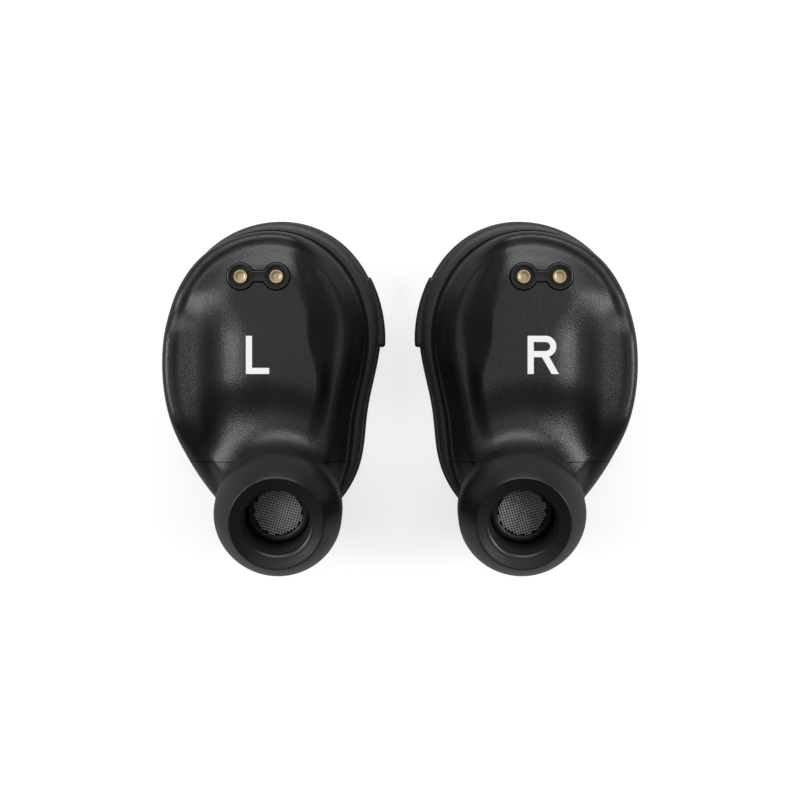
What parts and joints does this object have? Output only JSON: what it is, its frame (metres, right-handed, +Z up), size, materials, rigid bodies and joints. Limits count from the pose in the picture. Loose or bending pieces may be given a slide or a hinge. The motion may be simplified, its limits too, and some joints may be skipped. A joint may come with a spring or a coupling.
{
  "type": "true wireless earbuds",
  "caption": "Black wireless in-ear monitors lying ear side up, with silicone ear tips, side buttons and gold charging contacts.",
  "frame": {"origin": "on the resting surface, midway between the two buds and at the middle of their length", "axes": "+X across the pair from the left bud to the right bud, +Y towards the tops of the buds, +Z up, out of the resting surface"},
  "size_m": [0.0456, 0.0342, 0.0192],
  "materials": {
    "faceplate_black": "fine satin moulding texture",
    "cover_black": "satin moulded black",
    "shell_black": "soft satin black with a very fine spark texture",
    "screen_mesh": "fine diagonal weave, blackened",
    "tip_silicone": "smooth black silicone with a soft sheen",
    "button_black": "satin black",
    "holder_black": "glossy black insert",
    "contact_gold": "gold plated, turned rim",
    "letter_white": "pad printed white ink",
    "switch_white": "moulded white",
    "switch_steel": "stamped cover",
    "flex_amber": "polyimide film over copper",
    "board_green": "solder mask",
    "chip_black": "moulded package",
    "antenna_ceramic": "fired ceramic",
    "can_steel": "tinned can",
    "led_white": "clear package",
    "guide_clear": "clear moulded pin",
    "cell_steel": "nickel plated can",
    "foam_grey": "closed cell foam",
    "tab_nickel": "nickel strip",
    "magnet_nickel": "nickel plated",
    "driver_plastic": "moulded ring",
    "driver_steel": "plated steel cup",
    "coil_copper": "enamelled copper wire",
    "diaphragm_film": "thin polymer film",
    "gasket_black": "foam gasket"
  },
  "bodies": {
    "left_bud": {"left_faceplate": "faceplate_black", "left_outer_cover": "cover_black", "left_inner_shell": "shell_black", "left_nozzle_housing": "shell_black", "left_nozzle_screen": "screen_mesh", "left_switch_case": "switch_steel", "left_contact_holder": "holder_black", "left_charging_contacts": "contact_gold", "left_contact_flex": "flex_amber", "left_circuit_board": "board_green", "left_radio_chip": "chip_black", "left_antenna": "antenna_ceramic", "left_microphone": "can_steel", "left_status_led": "led_white", "left_light_guide": "guide_clear", "left_battery": "cell_steel", "left_battery_pad": "foam_grey", "left_battery_tabs": "tab_nickel", "left_case_magnet": "magnet_nickel", "left_driver_frame": "driver_plastic", "left_driver_yoke": "driver_steel", "left_driver_magnet": "magnet_nickel", "left_driver_gasket": "gasket_black", "left_letter": "letter_white"},
    "left_button": {"left_side_button": "button_black", "left_switch_plunger": "switch_white"},
    "left_ear_tip_body": {"left_ear_tip": "tip_silicone"},
    "left_speaker": {"left_diaphragm": "diaphragm_film", "left_voice_coil": "coil_copper"},
    "right_bud": {"right_faceplate": "faceplate_black", "right_outer_cover": "cover_black", "right_inner_shell": "shell_black", "right_nozzle_housing": "shell_black", "right_nozzle_screen": "screen_mesh", "right_switch_case": "switch_steel", "right_contact_holder": "holder_black", "right_charging_contacts": "contact_gold", "right_contact_flex": "flex_amber", "right_circuit_board": "board_green", "right_radio_chip": "chip_black", "right_antenna": "antenna_ceramic", "right_microphone": "can_steel", "right_status_led": "led_white", "right_light_guide": "guide_clear", "right_battery": "cell_steel", "right_battery_pad": "foam_grey", "right_battery_tabs": "tab_nickel", "right_case_magnet": "magnet_nickel", "right_driver_frame": "driver_plastic", "right_driver_yoke": "driver_steel", "right_driver_magnet": "magnet_nickel", "right_driver_gasket": "gasket_black", "right_letter": "letter_white"},
    "right_button": {"right_side_button": "button_black", "right_switch_plunger": "switch_white"},
    "right_ear_tip_body": {"right_ear_tip": "tip_silicone"},
    "right_speaker": {"right_diaphragm": "diaphragm_film", "right_voice_coil": "coil_copper"}
  },
  "joints": [
    {"name": "left_button_press", "type": "slide", "parent": "left_bud", "child": "left_button", "axis": [-0.9781, -0.2083, 0], "range_m": [0, 0.0003], "stiffness_N_per_m": 3000},
    {"name": "left_ear_tip_pull", "type": "slide", "parent": "left_bud", "child": "left_ear_tip_body", "axis": [0, -0.2419, 0.9703], "range_m": [0, 0.01]},
    {"name": "left_speaker_stroke", "type": "slide", "parent": "left_bud", "child": "left_speaker", "axis": [0, -0.2419, 0.9703], "range_m": [-0.00015, 0.00015], "stiffness_N_per_m": 400},
    {"name": "right_button_press", "type": "slide", "parent": "right_bud", "child": "right_button", "axis": [0.9781, -0.2083, 0], "range_m": [0, 0.0003], "stiffness_N_per_m": 3000},
    {"name": "right_ear_tip_pull", "type": "slide", "parent": "right_bud", "child": "right_ear_tip_body", "axis": [0, -0.2419, 0.9703], "range_m": [0, 0.01]},
    {"name": "right_speaker_stroke", "type": "slide", "parent": "right_bud", "child": "right_speaker", "axis": [0, -0.2419, 0.9703], "range_m": [-0.00015, 0.00015], "stiffness_N_per_m": 400},
    {"name": "right_bud_lift", "type": "slide", "parent": "left_bud", "child": "right_bud", "axis": [0, 0, 1], "range_m": [0, 0.04]}
  ]
}
